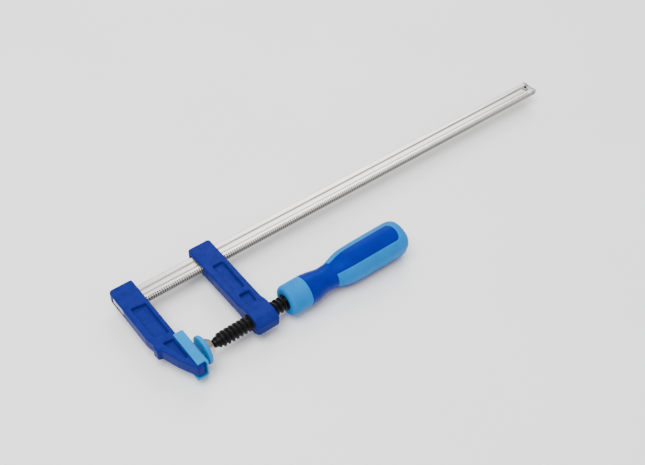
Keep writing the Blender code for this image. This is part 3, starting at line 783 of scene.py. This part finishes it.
def smooth_slopes(places, values):
    """Slopes of a smooth curve through rising places that never overshoots (Fritsch-Carlson)."""
    gaps = np.diff(places)
    secants = np.diff(values) / gaps
    slopes = np.zeros(len(values))
    for i in range(1, len(values) - 1):
        if secants[i - 1] * secants[i] > 0:
            near, far = 2 * gaps[i] + gaps[i - 1], gaps[i] + 2 * gaps[i - 1]
            slopes[i] = (near + far) / (near / secants[i - 1] + far / secants[i])
    slopes[0], slopes[-1] = secants[0], secants[-1]
    return slopes


WIDTH_SLOPES = smooth_slopes(PROFILE[:, 0], PROFILE[:, 1])


def handle_size(x):
    """Half width and squareness of the handle's section at a place along X, from cubic spans."""
    i = int(np.clip(np.searchsorted(PROFILE[:, 0], x) - 1, 0, len(PROFILE) - 2))
    gap = PROFILE[i + 1, 0] - PROFILE[i, 0]
    t = min(1.0, max(0.0, (x - PROFILE[i, 0]) / gap))
    a, b = PROFILE[i, 1], PROFILE[i + 1, 1]
    width = (a * (1 + 2 * t) * (1 - t) ** 2 + b * t * t * (3 - 2 * t)
             + gap * (WIDTH_SLOPES[i] * t * (1 - t) ** 2 - WIDTH_SLOPES[i + 1] * t * t * (1 - t)))
    return width, PROFILE[i, 2] * (1 - t) + PROFILE[i + 1, 2] * t


def handle_point(x, angle, depth):
    """Point on the handle's superellipse section, or a depth under it. Angle 0 is a panel."""
    half, square = handle_size(x)
    c = abs(cos(angle)) ** square
    s = abs(sin(angle)) ** square
    radius = half / (c + s) ** (1 / square) - depth
    turn = HANDLE_TURN + pi / 2 + angle
    return (x, radius * cos(turn), radius * sin(turn))


def seam(distance):
    """Depth of the shallow groove at a distance from where two mouldings meet."""
    return SEAM * float(np.exp(-(distance / SEAM_WIDTH) ** 2))


def panel_spread(x, side):
    """Half the angle of one dark panel at a place along X; the panels' ends are rounded."""
    past = (x - (PANEL_END - PANEL_ROUND)) / PANEL_ROUND
    return PANEL_ANGLES[side] * (1.0 if past <= 0 else sqrt(max(0.0, 1 - past ** 2)))


def stations(low, high, step, edges=()):
    """Places along X, closer together beside the edges and where the panels end."""
    places = set(np.linspace(low, high, int((high - low) / step) + 2).tolist())
    for edge in edges:
        for offset in (0.0, 0.1, 0.22, 0.38, 0.6, 0.9):
            places.update(p for p in (edge - offset, edge + offset) if low <= p <= high)
    panel_ends = [PANEL_END - PANEL_ROUND * (1 - sin(pi / 2 * k / 10)) for k in range(11)]
    places.update(x for x in panel_ends if low < x < high)
    return sorted(places)


def shares(count):
    """Shares of a span from 0 to 1, closer together at both ends."""
    near = [0.0, 0.012, 0.028, 0.05, 0.085]
    middle = np.linspace(0.13, 0.87, count).tolist()
    return near + middle + [1 - s for s in near[::-1]]


PANEL_SHARES = (shares(16), shares(28))
SIDE_SHARES = shares(22)


def make_core(finish):
    """Hard core: nose, waist and the two panels that show between the soft sides."""
    low, high = box_mm("handle_core")
    collar_end = box_mm("handle_collar")[1][0]
    levels = [(low[0], "nose"), (collar_end + FIT / 2, "nose")]
    waist = collar_end + FIT
    levels += [(x, "waist") for x in stations(waist, GRIP_START, HANDLE_STEP, (waist, GRIP_START))]
    levels += [(x, "grip") for x in stations(GRIP_START, high[0], HANDLE_STEP, (GRIP_START,))]
    points = []
    for x, part in levels:
        for side in (0, 1):
            spread = panel_spread(x, side)
            middle = side * pi
            next_panel = middle + pi - panel_spread(x, 1 - side)
            for start, end, sections, panel in (
                    (middle - spread, middle + spread, PANEL_SHARES[side], True),
                    (middle + spread, next_panel, SIDE_SHARES, False)):
                for share in sections:
                    angle = start + (end - start) * share
                    border = min(share, 1 - share) * (end - start) * MEAN_R
                    if part == "nose":
                        turn = HANDLE_TURN + pi / 2 + angle
                        points.append((x, NOSE_R * cos(turn), NOSE_R * sin(turn)))
                        continue
                    if part == "waist":
                        depth = seam(x - collar_end) + (0.0 if panel else seam(GRIP_START - x))
                    elif panel and x < PANEL_END - 0.01:
                        depth = seam(border)
                    else:
                        depth = SKIN + FIT
                    points.append(handle_point(x, angle, depth))
    ring = sum(len(run) for run in PANEL_SHARES) + 2 * len(SIDE_SHARES)
    faces = grid_faces(len(levels), ring) + end_faces(len(levels), ring)
    add_piece("handle_body", points, faces, "screw", ["handle_core"], finish)


def make_grip(finish):
    """Soft sides and end cap in one skin, with rolled edges against the hard panels."""
    low, high = box_mm("handle_grip")
    inner_end = box_mm("handle_core")[1][0] + FIT
    places = sorted(stations(low[0], high[0], HANDLE_STEP, (low[0],)) + CAP_PLACES)
    points = []
    faces = []
    columns = len(SIDE_SHARES)
    clear = 0.004                # angle of the gap beside a panel

    def row(x, side, under):
        """Points across one soft side: on its outside, or under it."""
        begin, end = [spread + clear if spread else 0.0
                      for spread in (panel_spread(x, side), panel_spread(x, 1 - side))]
        span = pi - begin - end
        made = []
        for share in SIDE_SHARES:
            border = min(share, 1 - share) * span * MEAN_R
            depth = under or seam(x - low[0]) + (seam(border) if begin else 0.0)
            made.append(handle_point(x, side * pi + begin + span * share, depth))
        return made

    for side in (0, 1):
        base = len(points)
        for x in places:
            points += row(x, side, 0.0)
        start = len(points)
        inner_places = [x for x in places if x < inner_end] + [inner_end]
        for x in inner_places:
            points += row(x, side, SKIN)
        for first, count in ((base, len(places)), (start, len(inner_places))):
            faces += [tuple(first + i for i in face) for face in grid_faces(count, columns, wrap=False)]
        for k in range(columns - 1):
            faces.append((base + k, start + k, start + k + 1, base + k + 1))
        for i in range(len(inner_places) - 2):
            if panel_spread(places[i], side) > 0:
                for k in (0, columns - 1):
                    a, b = base + i * columns + k, start + i * columns + k
                    faces.append((a, a + columns, b + columns, b))
    add_piece("handle_soft_sides", points, faces, "screw", ["handle_grip"], finish)


def make_collar(finish):
    """Soft ring round the core's nose."""
    low, high = box_mm("handle_collar")
    end = high[0]
    places = stations(low[0], end, COLLAR_STEP, (end,))
    outer = [(x, handle_size(x)[0] - seam(end - x)) for x in places]
    lip = low[0] + 1.16
    mouth_r = 5.6
    bore = [(end, NOSE_R + FIT), (lip, NOSE_R + FIT), (lip, mouth_r), (low[0] + 0.3, mouth_r),
            (low[0], mouth_r + 0.4)]
    points, faces = lathe(outer + bore, 120)
    add_piece("handle_ring", points, faces, "screw", ["handle_collar"], finish)


# ---- studio ----

def make_floor():
    """Pale floor under the clamp, at the height of the handle's underside."""
    low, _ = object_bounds()
    size = 6.0
    mesh = bpy.data.meshes.new("floor")
    corners = [(-size, -size), (size, -size), (size, size), (-size, size)]
    mesh.from_pydata([(x, y, low[2]) for x, y in corners], [], [(0, 1, 2, 3)])
    floor = add_object("floor", mesh)
    f = Finish("studio_floor", metallic=0.0, roughness=0.8)
    f.colour(f.mix(f.spread(f.noise(120, 2), 0, 1), (0.93, 0.93, 0.93), (0.95, 0.95, 0.95)))
    mesh.materials.append(f.material)


def aim(thing, target, roll=0.0):
    """Points an object's -Z axis at a target, then rolls it about that axis."""
    away = (thing.location - Vector(target)).normalized()
    right = Vector((0, 0, 1)).cross(away).normalized()
    up = away.cross(right)
    turn = Matrix((right, up, away)).transposed().to_4x4()
    thing.matrix_world = Matrix.Translation(thing.location) @ turn @ Matrix.Rotation(roll, 4, "Z")


def make_camera():
    """High three-quarter view from the jaw's end, with a slightly long lens."""
    data = bpy.data.cameras.new("camera")
    data.lens = 50.14
    data.shift_x, data.shift_y = -0.0011, -0.0014
    data.clip_start = 0.01
    camera = add_object("camera", data)
    azimuth, elevation, distance = radians(-39.91), radians(46.50), 0.6001
    target = Vector((0.1199, 0.0332, 0.0))
    away = Vector((sin(azimuth) * cos(elevation), -cos(azimuth) * cos(elevation), sin(elevation)))
    camera.location = target + away * distance
    aim(camera, target, radians(2.27))
    bpy.context.scene.camera = camera


def area_light(name, place, target, size, power):
    """Soft rectangular light that faces a target."""
    data = bpy.data.lights.new(name, "AREA")
    data.shape = "RECTANGLE"
    data.size, data.size_y = size
    data.energy = power
    light = add_object(name, data)
    light.location = place
    aim(light, target)


def make_studio():
    """Floor, plain white surroundings and two softboxes."""
    make_floor()
    world = bpy.data.worlds.new("studio")
    world.use_nodes = True
    background = world.node_tree.nodes["Background"]
    background.inputs["Color"].default_value = (1, 1, 1, 1)
    background.inputs["Strength"].default_value = 0.8
    bpy.context.scene.world = world
    middle = Vector((0.13, 0.03, 0.0))
    area_light("back_softbox", middle + Vector((0.66, 0.78, 0.98)), middle, (0.8, 0.7), 11)
    area_light("top_softbox", middle + Vector((-0.45, -0.05, 1.3)), middle, (1.0, 1.0), 27)


def main():
    steel = rolled_steel()
    spring = turned_steel("spring_steel", (0.60, 0.59, 0.57), 0.34)
    pressed = turned_steel("pressed_steel", (0.52, 0.49, 0.44), 0.28)
    coat = powder_coat()
    sky, deep = (0.25, 0.75, 1.0), (0.25, 0.45, 1.0)
    pad = moulded("pad_plastic", (0.0, 0.180, 0.46), (0.0, 0.205, 0.50),
                  roughness=0.40, specular=0.14, tint=sky, grain=0.35, depth=0.012)
    rubber = moulded("soft_rubber", (0.0, 0.148, 0.44), (0.0, 0.170, 0.48),
                     roughness=0.48, specular=0.10, tint=sky, grain=0.22, depth=0.014)
    plastic = moulded("hard_plastic", (0.0, 0.0105, 0.20), (0.0, 0.013, 0.23),
                      roughness=0.36, specular=0.09, tint=deep, grain=0.30, depth=0.010)
    make_bar(steel)
    make_stop_pin(spring)
    make_fixed_jaw(coat)
    make_fixed_pad(pad)
    make_sliding_arm(coat)
    make_retaining_ring(spring)
    make_spindle(black_oxide())
    make_swivel(pressed, pad)
    make_core(plastic)
    make_collar(rubber)
    make_grip(rubber)
    make_studio()
    make_camera()


main()
